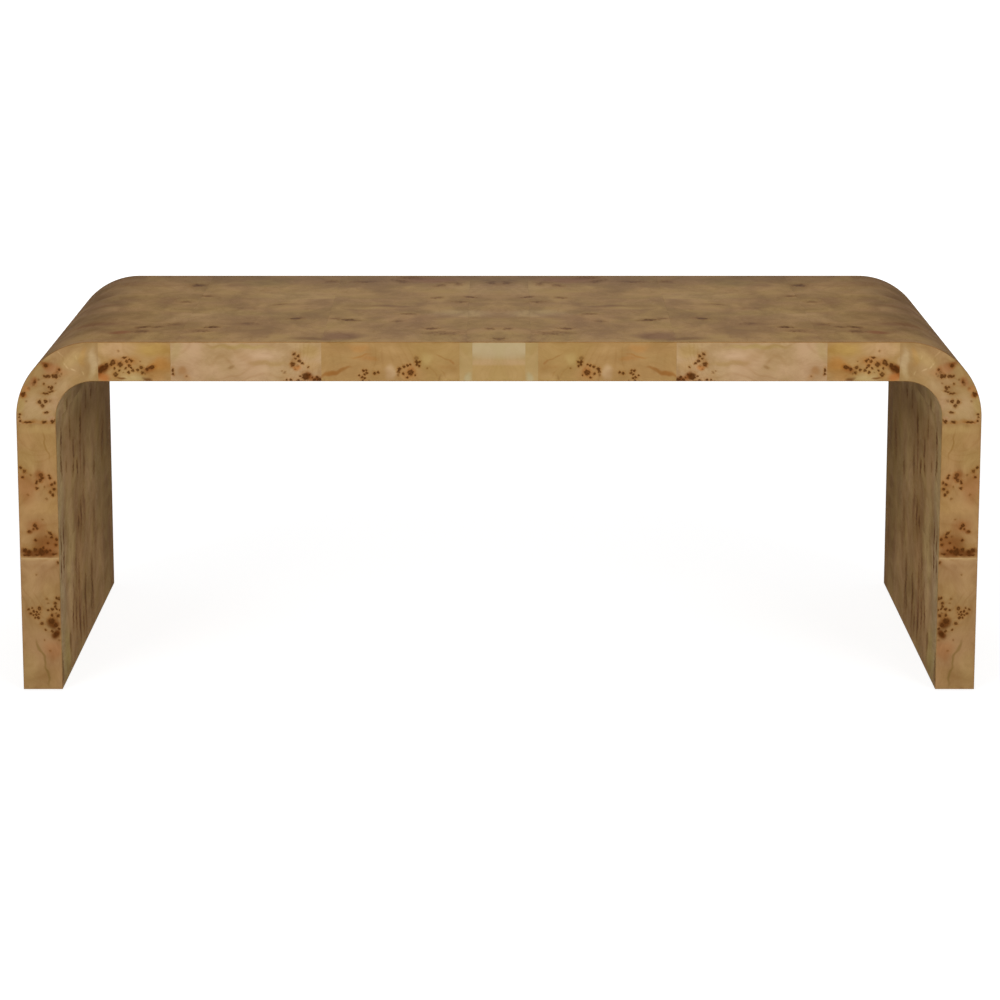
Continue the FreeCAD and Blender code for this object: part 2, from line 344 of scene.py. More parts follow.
front_leaves["inner"] = {
    "ground": (162, 128, 79), "figure": 0.75,
    "washes": [
        (403, 38.6, 20, 2.8, -19, 0.85, (142, 96, 46)), (397, 40.6, 9, 3.6, -19, 0.65, (146, 98, 48)),
        (418, 33.4, 6, 1.8, -14, 0.5, (142, 98, 50)), (550.8, 26, 2.2, 3.2, -20, 0.75, (150, 100, 54)),
        (541, 41, 9, 0.9, 50, 0.45, (146, 104, 54)), (528, 38, 9, 0.9, 58, 0.4, (148, 106, 56)),
        (436, 18, 16, 1.6, -11, 0.65, (156, 108, 54)), (447, 21, 11, 3.5, 0, 0.55, (162, 114, 62)),
        (434, 8, 15, 5, 4, 0.55, (172, 124, 68)), (473, 40, 7, 11, 12, 0.7, (184, 154, 114)),
        (518, 22, 9, 9, 0, 0.6, (178, 150, 98)), (497, 40, 14, 12, 0, 0.35, (170, 124, 72)),
        (500, 36, 6, 7, 0, 0.55, (164, 118, 70)), (440, 42, 9, 10, 0, 0.4, (170, 134, 86)),
        (410, 22, 20, 8, -8, 0.45, (162, 132, 82)), (470, 12, 16, 7, 0, 0.4, (176, 142, 92)),
        (536, 17.2, 8, 1, 22, 0.8, (140, 92, 44)), (546, 22.4, 7, 1, 32, 0.7, (140, 92, 44)),
        (545, 32, 14, 3, 14, 0.4, (160, 120, 70)), (535, 45, 1.8, 4, 0, 0.5, (132, 96, 54)),
        (548, 44, 10, 6, 0, 0.4, (176, 142, 96)), (548, 14, 24, 16, 0, 0.4, (168, 138, 86)),
    ],
    "eyes": [
        (439.4, 36.4, 1.3), (442.6, 36, 1.1), (443.6, 39.2, 1.3), (440.6, 41.2, 1), (434, 42.4, 1),
        (437.6, 44.8, 1.3), (440.8, 45.8, 1.2), (438.4, 48.6, 1.1), (453.6, 39.6, 1.5), (457.8, 38.4, 1.2),
        (484.6, 34.2, 1.7), (483.4, 37.4, 1.6), (490.5, 31.2, 1.4), (495, 29.6, 1.3), (498.2, 28.6, 1),
        (498.8, 38.6, 3.1), (494.4, 45.2, 1.2), (489.6, 40, 1.3), (504.4, 42, 0.9), (506.2, 25.2, 1.7),
        (509.8, 25.4, 1.4), (507, 28.4, 1.4), (509.4, 30.2, 1.2),
    ],
    "faint": [(506, 20.4, 2.6), (483, 41.6, 1.8), (446, 49, 1.2), (520, 33, 1.2)],
}
front_leaves["middling"] = {
    "ground": (174, 142, 105),
    "washes": [
        (283, 6, 42, 3.2, 0, 0.6, (162, 136, 82)), (321, 16, 26, 5.8, 0, 0.7, (187, 155, 121)),
        (318, 27, 26, 3.6, 3, 0.55, (160, 128, 78)), (328, 38, 22, 7, 0, 0.5, (185, 154, 118)),
        (272, 31, 5, 2.6, -16, 0.6, (146, 112, 72)), (262, 32, 7, 5, 0, 0.4, (184, 154, 116)),
        (211, 37, 7, 6, 0, 0.65, (160, 116, 70)), (218, 45, 5, 5, 0, 0.5, (180, 138, 92)),
        (214, 18, 14, 12, 0, 0.4, (180, 150, 112)), (203, 10, 8, 14, 0, 0.5, (166, 142, 94)),
        (372, 12, 16, 10, 0, 0.6, (172, 140, 86)), (374, 30, 13, 8, 0, 0.4, (176, 140, 88)),
        (357, 32.2, 5, 4, 0, 0.8, (176, 116, 62)), (350.5, 28.1, 3.6, 3.6, 0, 0.6, (150, 96, 48)),
        (369.8, 43.6, 6.6, 5.6, 0, 0.95, (122, 74, 34)), (383.2, 47.8, 4.8, 5, 0, 0.9, (122, 72, 36)),
        (377, 46, 5, 5, 0, 0.7, (148, 96, 50)), (354, 20, 9, 10, 12, 0.35, (160, 116, 68)),
        (345, 45, 12, 7, 0, 0.3, (168, 130, 86)), (235, 46, 24, 5, -4, 0.4, (168, 138, 98)),
    ],
    "eyes": [
        (352.2, 15, 1.6), (357.2, 17.8, 1.5), (354, 21, 1.2), (358.6, 24, 1.7), (362.4, 26.9, 1.4),
        (350.4, 28.3, 2.4), (369.9, 31.8, 1.1), (366.4, 43.8, 3.8), (371.8, 41.4, 1), (377.4, 48.6, 2),
        (380.6, 44.6, 1.4), (384, 48.6, 2.6), (359.4, 43.6, 1.1), (347.6, 48.2, 1.3), (342.6, 48.2, 1),
        (357, 49, 1.6), (361, 50.6, 1.5), (375, 45.2, 1),
    ],
    "knots": [(199.2, 35.4, 1.4, 2.6, 0), (199.4, 40.6, 1.5, 1.6, 0)],
    "faint": [
        (340, 38.4, 1.8), (356.4, 30.2, 1.8), (216.6, 43.2, 1.4), (336.8, 37, 1), (353.6, 34.6, 1.2),
        (338.6, 49.4, 1.2),
    ],
}
front_leaves["outer"] = {
    "ground": (166, 131, 84),
    "washes": [
        (178, 9, 26, 10, 0, 0.8, (172, 138, 76)), (126, 10, 26, 13, 6, 0.65, (182, 148, 106)),
        (184, 29, 16, 11, -14, 0.85, (166, 116, 60)), (176, 44, 14, 8, 0, 0.65, (168, 124, 74)),
        (150, 47, 18, 5.5, 0, 0.8, (186, 160, 114)), (140, 42, 14, 8, 0, 0.35, (180, 152, 104)),
        (111, 44.6, 8, 7, -20, 0.8, (172, 106, 54)), (111, 33.6, 11, 6.2, -26, 1, (112, 66, 30)),
        (104, 40, 5, 6, -40, 0.7, (132, 80, 38)), (128, 27, 8, 6, -20, 0.55, (158, 110, 60)),
        (146, 24, 12, 7, -8, 0.45, (172, 120, 66)), (166.5, 47.6, 5.5, 3.4, 0, 0.95, (118, 78, 42)),
        (134, 46.6, 8, 1.5, -3, 0.95, (124, 82, 42)), (170, 34, 8, 5, -14, 0.6, (144, 88, 44)),
        (104, 25, 4, 6, 0, 0.5, (184, 154, 118)),
    ],
    "eyes": [
        (123.8, 25.4, 2.6), (121.4, 28.6, 1.6), (132.9, 28.4, 2.6), (126.9, 41.2, 2.4), (125.7, 33.4, 1.2),
        (141.4, 24.4, 1.6), (147.2, 23.8, 1.5), (144.4, 21.8, 1), (144.4, 29.9, 1.6), (139.6, 33.4, 1.3),
        (143.4, 38.4, 1.5), (148.6, 36, 1.6), (146.6, 32.6, 1), (154.6, 35.6, 1.5), (159.6, 32.2, 1.8),
        (160.7, 39, 1.5), (166.6, 34.6, 1.6), (131.6, 36, 1.2), (115.4, 29.4, 2.2), (107.4, 36.6, 2.4),
    ],
    "knots": [
        (111.6, 33.4, 6.6, 3.4, -28), (138.5, 19.6, 3.4, 1.3, -6), (172.2, 32, 4.4, 2.4, -16),
    ],
    "faint": [(130.8, 11.4, 1.5), (136.4, 38.8, 1), (158, 24.4, 1), (164, 40, 1.2)],
}
front_leaves["corner"] = {
    "ground": (159, 127, 84),
    "washes": [
        (39.5, 29, 11, 5.5, 20, 0.75, (140, 92, 52)), (37.5, 27.4, 4.5, 3, 20, 0.8, (122, 76, 40)),
        (55.4, 36, 3.4, 4.4, 0, 0.75, (132, 86, 46)), (51, 35.5, 15, 6.5, 8, 0.75, (162, 114, 72)),
        (24, 51, 7, 7, 0, 0.65, (160, 110, 74)), (14.5, 58.5, 5, 5, 0, 0.55, (176, 116, 66)),
        (9, 66.5, 5, 4, 0, 0.8, (150, 92, 44)), (63, 27, 3.4, 1.1, 50, 0.6, (196, 168, 120)),
        (67, 31, 3.2, 1, 48, 0.6, (196, 168, 120)), (73.5, 35.6, 3.6, 1.1, 52, 0.6, (194, 166, 118)),
        (57.7, 15.5, 3.4, 1.1, 54, 0.5, (192, 164, 116)), (85, 39.8, 3.4, 1.1, 46, 0.5, (192, 164, 116)),
        (77.7, 20.7, 3.6, 1.2, 52, 0.5, (192, 164, 112)), (86, 18, 4.5, 13, 8, 0.6, (172, 128, 70)),
        (98.5, 27, 5.5, 20, 0, 0.6, (188, 164, 124)), (72, 22, 22, 10, -18, 0.45, (178, 150, 96)),
        (66, 44, 18, 9, 25, 0.35, (168, 134, 86)), (45, 80, 9, 14, 20, 0.4, (184, 152, 116)),
        (46, 98, 6, 4, 0, 0.5, (182, 146, 116)), (22, 88, 10, 10, 0, 0.35, (178, 150, 102)),
        (26, 85, 24, 18, 0, 0.45, (176, 147, 108)), (14, 101, 12, 3, 0, 0.6, (150, 108, 58)),
        (28, 103, 24, 3, 0, 0.5, (166, 124, 74)), (6, 82, 6, 14, 0, 0.4, (166, 140, 82)),
        (57, 57, 22, 7, -45, 0.5, (174, 147, 103)),
    ],
    "eyes": [
        (39.2, 29.9, 1.9), (39.8, 43.6, 1.7), (36.4, 43.2, 1.1), (43, 43.6, 1.6), (48.1, 43.2, 1.7),
        (51.4, 43.4, 2.3), (35.9, 53.4, 1.1), (42.5, 57.1, 1.1), (45.4, 59.1, 1.6), (46.6, 56.8, 0.9),
        (9.3, 67.3, 2.2), (11.6, 64.4, 1), (30, 76.4, 2), (37.8, 75.7, 1.9), (33.7, 81.2, 1.8),
        (4.8, 92.2, 1.2), (4.1, 96, 1.1), (5.2, 100.5, 1.3), (45.8, 101.6, 1.9), (49.6, 99.8, 1.2),
        (55.8, 35.2, 1.3),
    ],
    "knots": [
        (45, 63.2, 3.4, 1.2, -15), (38, 65.6, 3.8, 1.2, 4), (38.2, 89.9, 3, 1.5, -12),
        (14.5, 102.4, 6, 1.2, -2), (35.4, 102.2, 3.2, 1.7, -8), (24.6, 51, 1.5, 3.6, 10),
    ],
    "faint": [
        (43.5, 74.9, 2), (23.2, 53.5, 2.2), (16.9, 59.1, 1.7), (53.5, 38.5, 2), (56, 43, 1.8),
        (58.5, 40.6, 1.5), (51, 52.6, 1.3), (13, 75.6, 1.5), (30, 47.5, 1.3),
    ],
}
front_leaves["upper_leg"] = {
    "ground": (157, 122, 77),
    "washes": [
        (36.6, 133, 19, 1.4, 77, 0.7, (138, 102, 56)), (30, 112, 26, 5, 0, 0.4, (174, 144, 94)),
        (10, 186, 14, 24, 0, 0.65, (148, 100, 58)), (27.6, 172, 6, 7.5, 0, 0.8, (124, 80, 40)),
        (34, 176, 15, 9, 40, 0.5, (156, 112, 68)), (44, 188, 8, 12, 0, 0.35, (160, 118, 72)),
        (22, 238, 14, 10, 20, 0.65, (148, 102, 60)), (36, 262, 20, 17, 0, 0.85, (130, 82, 42)),
        (10, 258, 9, 14, 0, 0.35, (174, 140, 92)), (12.5, 243.5, 4, 3, 0, 0.7, (130, 84, 44)),
        (24, 214, 20, 9, 0, 0.4, (176, 140, 90)), (44, 212, 8, 10, 0, 0.4, (158, 122, 74)),
        (8.6, 270, 6.5, 5, 0, 0.85, (112, 70, 34)), (14, 150, 12, 18, -20, 0.35, (176, 146, 96)),
        (25, 272, 26, 5.4, 0, 0.88, (106, 64, 30)),
    ],
    "eyes": [
        (3.6, 160.9, 1.4), (8.6, 165.4, 1.7), (6.1, 173.1, 1.4), (29.1, 170.4, 2.2), (31, 174, 1.7),
        (28.4, 177.6, 1.8), (23.8, 187.6, 1.6), (39.4, 171.1, 1.2), (40.9, 174.2, 1.5), (46.6, 180.6, 1.5),
        (43, 182.6, 1.6), (45.6, 188.8, 1.6), (40.7, 192.6, 1.5), (43.8, 196.2, 1.6), (20.2, 235.6, 2),
        (22.8, 239.4, 1.3), (18.4, 240.2, 1.2), (40.9, 251, 1.5), (47.2, 253.8, 1.5), (46.2, 261.2, 1.5),
        (20.4, 254.8, 1.3), (27.8, 271, 3.3), (19.5, 267.4, 2), (26.8, 266.4, 1.3), (30, 264.8, 1.3),
        (34, 269.6, 2), (6.4, 268, 2.2), (11.4, 270.4, 2), (38.4, 268.4, 1.2), (36.2, 258.6, 1.1),
        (12.5, 243.6, 1.6),
    ],
    "knots": [
        (23.7, 179.6, 1.6, 3, 8), (39.2, 246, 3.4, 1.6, 38), (8.8, 274.4, 5.6, 1.1, 0),
        (43.6, 273.2, 3.6, 1.3, -6), (22, 274.2, 3, 1, 0),
    ],
    "faint": [
        (35.7, 201.4, 1.6), (33.5, 185.6, 1.2), (16.5, 170.5, 1.4), (30, 228, 1.2), (12, 196, 1.4),
        (34, 250, 1.2),
    ],
}
front_leaves["lower_leg"] = {
    "ground": (152, 118, 78),
    "washes": [
        (25, 281, 30, 6, 0, 0.5, (174, 142, 98)), (25, 276.4, 80, 4.6, 0, 0.9, (184, 154, 106)),
        (12, 310, 12, 24, 0, 0.35, (174, 142, 94)), (34, 320, 14, 14, 30, 0.35, (172, 138, 92)),
        (18, 351, 12, 8, 10, 0.5, (152, 112, 68)), (40.2, 363.2, 8, 7.6, 0, 1, (94, 55, 24)),
        (42, 356, 10, 12, 0, 0.45, (152, 108, 64)), (43.6, 377.8, 6.8, 6.6, 0, 1, (100, 60, 27)),
        (40, 399, 13, 14, 0, 0.75, (153, 108, 67)), (21.2, 395.4, 12, 1.9, 64, 0.8, (126, 98, 54)),
        (26.9, 410.3, 12, 1.9, 72, 0.8, (126, 98, 54)), (31.6, 432, 18, 1.9, 82, 0.75, (128, 100, 56)),
        (10, 420, 10, 28, 0, 0.35, (170, 140, 94)), (42, 432, 8, 18, 0, 0.35, (166, 130, 86)),
        (25, 448, 26, 2, 0, 0.55, (146, 114, 70)),
    ],
    "eyes": [
        (48.6, 284.2, 1.4), (48.2, 331.4, 1.9), (45, 330.4, 1.2), (43.6, 337.2, 1.6), (43.2, 341.6, 1.5),
        (39.6, 345.2, 1.6), (34.2, 346.2, 1.2), (22.9, 344.2, 2), (9.2, 345.4, 1.3), (15.6, 347.8, 1.4),
        (11.8, 350.8, 1.4), (18.8, 352.2, 1.3), (21.2, 356.4, 1.5), (25.6, 363.8, 1.7), (38.8, 353, 1.5),
        (46.8, 353.8, 1.8), (38.2, 360.8, 3.2), (43.4, 366, 2.2), (47.4, 370.8, 1.4), (38.5, 374.2, 1.3),
        (43.6, 378.2, 2.4), (30.2, 372, 1), (14, 343.2, 1), (19.4, 348.9, 1.1), (15.4, 352.6, 1.1),
        (17.4, 356, 1.1), (21.8, 351.8, 1), (49.2, 346.4, 1.2),
    ],
    "knots": [(44.6, 344.6, 2.6, 1, 42)],
    "faint": [
        (32.8, 331.7, 1.5), (34.2, 337.2, 1.4), (23.9, 349.6, 1.3), (44, 350.6, 1.5), (28.6, 385.6, 1.2),
        (47, 386, 1.5), (20, 300, 1.2), (35, 400, 1.3),
    ],
}


def joints_of(node, axis):
    """Where the leaves of a packed veneer meet, from the lowest place to the highest."""
    return sorted({round(abs(corner.co[axis]), 5) for corner in nodes[node].data.vertices})


def down_line(height):
    """How far along the slab's line a height on the legs lies."""
    return bend_end + bend_z - height


def new_object(name, data):
    """An object in the scene, at the origin."""
    made = bpy.data.objects.new(name, data)
    bpy.context.scene.collection.objects.link(made)
    return made


def laid_leaf(name, near, far, section, showing, weave, arris=0.0):
    """One leaf, closed all round and laid along the slab's line from one joint to the next.

    The line runs out from the middle of the table, round the right-hand bend and down the leg. The
    section is where the leaf lies across it: front, rear, low and high. The side that shows is
    woven of small faces, which hold the marks, and an arris eases its two long corners."""
    shape = bmesh.new()
    front, rear, low, high = section
    start = min(near, bend_start)
    corners = ((front, low), (rear, low), (rear, high), (front, high))
    cap = shape.faces.new([shape.verts.new((start, y, z)) for y, z in corners])
    shown = cap.edges[("inner", "rear", "outer", "front").index(showing)]
    eased = [corner.co.copy() for corner in shown.verts]
    cuts = round(shown.calc_length() / weave) - 1
    bmesh.ops.subdivide_edges(shape, edges=[shown], cuts=cuts)
    if arris:
        sharp = [corner for corner in shape.verts if corner.co in eased]
        bmesh.ops.bevel(
            shape, geom=sharp, offset=arris, offset_type="OFFSET", segments=3, profile=0.5,
            affect="VERTICES", material=-1)
    centre = (bend_x, 0.0, bend_z)
    across = (0.0, 1.0, 0.0)
    if near > bend_start:
        angle = (min(near, bend_end) - bend_start) / outer_bend
        turn = Matrix.Rotation(angle, 3, across)
        bmesh.ops.rotate(shape, cent=centre, matrix=turn, verts=shape.verts[:])
    if near > bend_end:
        dropped = Vector((0.0, 0.0, bend_end - near))
        bmesh.ops.translate(shape, vec=dropped, verts=shape.verts[:])
    last = shape.faces[:]
    place = near
    for part_end, run in (
            (bend_start, (1.0, 0.0, 0.0)), (bend_end, None), (line_end, (0.0, 0.0, -1.0))):
        travel = min(far, part_end) - place
        if travel <= least_run:
            continue
        steps = max(round(travel / weave), 1)
        moved = {"angle": travel / outer_bend, "steps": steps}
        if run:
            moved = {"angle": 0.0, "steps": 1, "dvec": Vector(run) * travel}
        rim = [part for face in last for part in (face, *face.edges, *face.verts)]
        swept = bmesh.ops.spin(
            shape, geom=rim, cent=centre, axis=across, use_duplicate=False, **moved)
        last = [part for part in swept["geom_last"] if isinstance(part, bmesh.types.BMFace)]
        if run and steps > 1:
            rim = {edge for face in last for edge in face.edges}
            sides = [
                edge for face in last for corner in face.verts for edge in corner.link_edges
                if edge not in rim]
            bmesh.ops.subdivide_edges(shape, edges=sides, cuts=steps - 1, use_grid_fill=True)
        place += travel
    bmesh.ops.recalc_face_normals(shape, faces=shape.faces[:])
    mesh = bpy.data.meshes.new(name)
    shape.to_mesh(mesh)
    shape.free()
    mesh.polygons.foreach_set("use_smooth", [True] * len(mesh.polygons))
    mesh.set_sharp_from_angle(angle=crease)
    return new_object(name, mesh)


def mirror_image(leaf, name):
    """The same leaf, with its marks, for the left-hand half of the table."""
    shape = bmesh.new()
    shape.from_mesh(leaf.data)
    bmesh.ops.scale(shape, vec=(-1.0, 1.0, 1.0), verts=shape.verts[:])
    bmesh.ops.recalc_face_normals(shape, faces=shape.faces[:])
    mesh = leaf.data.copy()
    mesh.name = name
    shape.to_mesh(mesh)
    shape.free()
    return new_object(name, mesh)


def points_of(leaf):
    """The places of a leaf's points, one row each."""
    return numpy.array([point.co[:] for point in leaf.data.vertices])


def keep(leaf, name, kind, values):
    """Keeps one value for each point of a leaf, which its finish reads."""
    made = leaf.data.attributes.new(name, kind, "POINT")
    key = "color" if kind == "FLOAT_COLOR" else "vector"
    made.data.foreach_set(key, numpy.ascontiguousarray(values, "f4").ravel())


def turned(along, down, degrees):
    """The same places on axes turned by so many degrees."""
    cosine, sine = math.cos(math.radians(degrees)), math.sin(math.radians(degrees))
    return along * cosine + down * sine, down * cosine - along * sine


def nearness(along, down, mark):
    """How far each point lies from the middle of a mark, of the mark's own size."""
    mark_along, mark_down, half_length, half_width, turn = mark
    lengthways, crossways = turned(along - mark_along, down - mark_down, turn)
    return numpy.hypot(lengthways / half_length, crossways / half_width)


def soft_step(value, start, end):
    """A soft step from 0 to 1 while the values go from start to end."""
    share = numpy.clip((value - start) / (end - start), 0.0, 1.0)
    return share * share * (3 - 2 * share)


wash_edge = (0.35, 1.35)
wash_stray = (1.5, 1.1)
wash_ripple = 0.4
spot_edge = (0.2, 1.3)
eye_swell = 1.25
eye_stray = 0.35
eye_ripple = 0.1
out_of_reach = 3.0
faint_depth = 0.45
paw_edge = (0.6, 2.0)
paw_fade = 0.22
spot_brown = (98, 64, 36)
rim_tint = (0.8, 0.68, 0.52, 1.0)


def draw_marks(leaf, along, down, marks, rim=None):
    """Keeps a leaf's ground colour, its figure as the fourth value, and where its eyes lie.

    Each point has how near it is to an eye, how dark that eye is, and how far the point lies in a
    paw, which is the warm wood round a cluster. Waves of several lengths bend the marks."""
    ground = numpy.tile(colour(*marks["ground"]), (len(along), 1))
    sway = marks.get("sway", 1.0)
    stray_along = along + sway * (
        wash_stray[0] * numpy.sin((0.22 * down + 0.11 * along) / sway)
        + wash_ripple * numpy.sin(0.6 * down / sway))
    stray_down = down + sway * (
        wash_stray[1] * numpy.sin(0.24 * along / sway + 1.7)
        + wash_ripple * numpy.sin(0.6 * along / sway))
    for *mark, strength, shade in marks["washes"]:
        away = nearness(stray_along, stray_down, mark)
        share = strength * (1 - soft_step(away, *wash_edge))
        ground += share[:, None] * (numpy.array(colour(*shade)) - ground)
    reach = numpy.full(len(along), out_of_reach)
    depth = numpy.zeros(len(along))
    paw = numpy.zeros(len(along))
    for *spot, strength in marks.get("spots", []):
        away = nearness(stray_along, stray_down, (*spot, 0))
        share = strength * (1 - soft_step(away, *spot_edge))
        ground += share[:, None] * (numpy.array(colour(*spot_brown)) - ground)
        paw = numpy.maximum(paw, strength * (1 - soft_step(away, *paw_edge)))
    eyes = [(x, y, eye_swell * r, eye_swell * r, 0, 1.0) for x, y, r in marks.get("eyes", [])]
    eyes += [(*knot, 1.0) for knot in marks.get("knots", [])]
    eyes += [(*place, r, r, 0, faint_depth) for *place, r in marks.get("faint", [])]
    bent_along = along + eye_stray * numpy.sin(1.3 * down + 0.5 * along)
    bent_along += eye_ripple * numpy.sin(3.1 * down)
    bent_down = down + eye_stray * numpy.sin(1.2 * along + 0.6 * down + 2.0)
    for *eye, dark in eyes:
        away = nearness(bent_along, bent_down, eye)
        nearer = away < reach
        reach = numpy.where(nearer, away, reach)
        depth = numpy.where(nearer, dark, depth)
        paw = numpy.maximum(paw, dark * numpy.exp(-paw_fade * away * away))
    if rim is not None:
        ground[rim] *= rim_tint
    ground[:, 3] = marks.get("figure", 1.0)
    keep(leaf, "ground", "FLOAT_COLOR", ground)
    keep(leaf, "eyes", "FLOAT_VECTOR", numpy.stack([reach, depth, paw], axis=1))


def lay_figure(leaf, along, down, slices, turn):
    """Keeps where each point lies in the block of burl that its leaf was sliced from."""
    block = [*turned(along, down, turn), 0 * along + slices]
    keep(leaf, "flitch", "FLOAT_VECTOR", numpy.stack(block, axis=1))


swirl_scale = 11.0
swirl_reach = 0.07
hue_scale = 17.0
ring_scale = 9.0
ring_count = 22.0
ring_patch_scale = 23.0
fray_scale = 900.0
mottle_scale = 330.0
pin_scale = 170.0
fleck_scale = 620.0
lacquer_depth = 0.035 * mm
lacquer_shine = 0.001
eye_core = (78, 44, 16)
eye_strength = 0.92
fleck_brown = (126, 84, 46)
halo_tint = (0.82, 0.66, 0.47, 1.0)
halo_strength = 0.7
paw_tint = (0.95, 0.84, 0.68, 1.0)
paw_strength = 0.6
line_tint = (0.74, 0.62, 0.46, 1.0)


def burl(name, cloud_scale, drawn_scale, combed_scale, line_width, dark, pale, scattered=False):
    """Poplar burl under matt lacquer: cloudy figure, growth lines, and knots like small eyes.

    Where it is scattered, pin knots lie by chance in its spots."""
    material, tree, shader = new_finish(name)
    laid = add(tree, "Attribute", {}, attribute_name="ground").outputs
    flitch = add(tree, "Attribute", {}, attribute_name="flitch").outputs["Vector"]
    eyes = add(tree, "Attribute", {}, attribute_name="eyes").outputs["Vector"]
    reach, depth, paw = add(tree, "SeparateXYZ", {"Vector": eyes}).outputs
    swirl = add(tree, "TexNoise", {"Vector": flitch, "Scale": swirl_scale, "Detail": 2.0})
    swirled = {0: swirl.outputs["Color"], 1: (swirl_reach, swirl_reach, 0.0), 2: flitch}
    drift = add(tree, "VectorMath", swirled, operation="MULTIPLY_ADD").outputs["Vector"]
    drawn = add(tree, "Mapping", {"Vector": drift, "Scale": drawn_scale}).outputs["Vector"]
    combed = add(tree, "Mapping", {"Vector": drift, "Scale": combed_scale}).outputs["Vector"]
    clouds = noise(tree, drift, cloud_scale, 6.0, 0.6)
    streaks = noise(tree, drawn, 1.0, 6.0, 0.65)
    fibres = noise(tree, combed, 1.0, 3.0, 0.6)
    figure = sum_of(tree, sum_of(tree, clouds, streaks), times(tree, fibres, 0.3))
    wood = blended(tree, laid["Alpha"], laid["Color"], blended(
        tree, between(tree, figure, 0.85, 1.45), (*dark, 1.0), (*pale, 1.0)), "MULTIPLY")
    hue = between(tree, noise(tree, drift, hue_scale, 2.0), 0.35, 0.65)
    warmth = blended(tree, hue, (0.98, 1.0, 0.94, 1.0), (1.02, 1.0, 1.05, 1.0))
    wood = blended(tree, 1.0, wood, warmth, "MULTIPLY")
    rings = times(tree, noise(tree, drift, ring_scale, 1.0), ring_count)
    rings = between(tree, sum_of(tree, rings, 0.5, "PINGPONG"), line_width, 0.0)
    shown = between(tree, noise(tree, drift, ring_patch_scale, 1.0), 0.42, 0.62, 0.0, 0.28)
    shown = times(tree, shown, laid["Alpha"])
    wood = blended(tree, times(tree, rings, shown), wood, line_tint, "MULTIPLY")

    ragged = noise(tree, flitch, fray_scale, 3.0)
    frayed = sum_of(tree, reach, ragged)
    rim = between(tree, frayed, 1.75, 1.2)
    hollow = between(tree, reach, 0.6, 0.2, 1.0, 0.88)
    mottle = between(tree, noise(tree, flitch, mottle_scale, 1.0), 0.3, 0.55, 0.7, 1.0)
    eye = times(tree, times(tree, times(tree, rim, hollow), mottle), depth)
    halo = times(tree, between(tree, frayed, 2.8, 1.3), depth)
    if scattered:
        cells = add(tree, "TexVoronoi", {"Vector": flitch, "Scale": pin_scale}, feature="F1")
        size = add(tree, "SeparateColor", {"Color": cells.outputs["Color"]}).outputs[0]
        far_off = sum_of(tree, cells.outputs["Distance"], times(tree, size, 0.4), "SUBTRACT")
        far_off = sum_of(tree, far_off, times(tree, ragged, 0.25))
        pin = times(tree, between(tree, far_off, 0.28, 0.1), paw)
        eye = sum_of(tree, eye, pin, "MAXIMUM")
    fleck = between(tree, noise(tree, flitch, fleck_scale, 2.0), 0.58, 0.7, 0.0, 0.7)
    wood = blended(tree, times(tree, paw, paw_strength), wood, paw_tint, "MULTIPLY")
    wood = blended(tree, times(tree, halo, halo_strength), wood, halo_tint, "MULTIPLY")
    wood = blended(tree, times(tree, fleck, paw), wood, colour(*fleck_brown))
    wood = blended(tree, times(tree, eye, eye_strength), wood, colour(*eye_core))
    shader.inputs["Specular IOR Level"].default_value = lacquer_shine
    rough = between(tree, figure, 0.8, 1.5, 0.52, 0.62)
    rough = sum_of(tree, rough, times(tree, eye, 0.08))
    height = sum_of(tree, fibres, times(tree, eye, 0.8), "SUBTRACT")
    complete(tree, shader, wood, rough, height, lacquer_depth)
    return material


edge_burl = burl(
    "burl_on_edges", cloud_scale=34.0, drawn_scale=(26.0, 56.0, 30.0),
    combed_scale=(150.0, 900.0, 300.0), line_width=0.25,
    dark=(0.88, 0.84, 0.79), pale=(1.11, 1.14, 1.16))
edge_joints = joints_of("front_edge_veneer", 0)
leg_joints = [down_line(height) for height in reversed(joints_of("right_leg_front_veneer", 2))]
edge_runs = list(zip([0.0, *edge_joints[:-1]], edge_joints))
edge_runs += [(edge_joints[-1], leg_joints[0]), *zip(leg_joints, leg_joints[1:])]
front_section = (
    -table_rear, -table_rear + veneer, slab_under + veneer + joint_gap / 2,
    table_top - veneer - joint_gap / 2)
corner_node = "{end}_corner_{side}_veneer"
leg_node = "{end}_leg_{side}_veneer"
edge_nodes = ["{side}_edge_veneer"] * 5 + [corner_node] + [leg_node] * 2
edge_turns = [0] * 5 + [-45] + [90] * 2
edge_slice_step = 0.37


def set_on(leaf, name, node, side, mirrored):
    """Sets a leaf on the table, and its mirror image on the left-hand half if it has one."""
    laid = {"right": leaf}
    if mirrored:
        leaf.name = f"{name}_right"
        laid["left"] = mirror_image(leaf, f"{name}_left")
    for end, piece in laid.items():
        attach(piece, "root")
        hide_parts(node.format(end=end, side=side))


def lay_edge(side, section, weave, leaves, block):
    """Lays the leaves of one edge of the slab, from the middle of the table outwards.

    The first leaf lies across the middle. Each of the others has its mirror image."""
    packed = zip(leaves.items(), edge_runs, edge_nodes, edge_turns)
    for place, ((name, marks), (near, far), node, turn) in enumerate(packed):
        name = f"{side}_leaf_{name}"
        near = near + joint_gap / 2 if place else joint_gap / 2 - far
        leaf = laid_leaf(name, near, far - joint_gap / 2, section, side, weave)
        points = points_of(leaf)
        along, down = table_end - abs(points[:, 0]), table_top - points[:, 2]
        draw_marks(leaf, along / mm, down / mm, marks)
        lay_figure(leaf, along, down, block + edge_slice_step * place, turn)
        leaf.data.materials.append(edge_burl)
        set_on(leaf, name, node, side, place > 0)


lay_edge("front", front_section, edge_weave, front_leaves, 0.0)


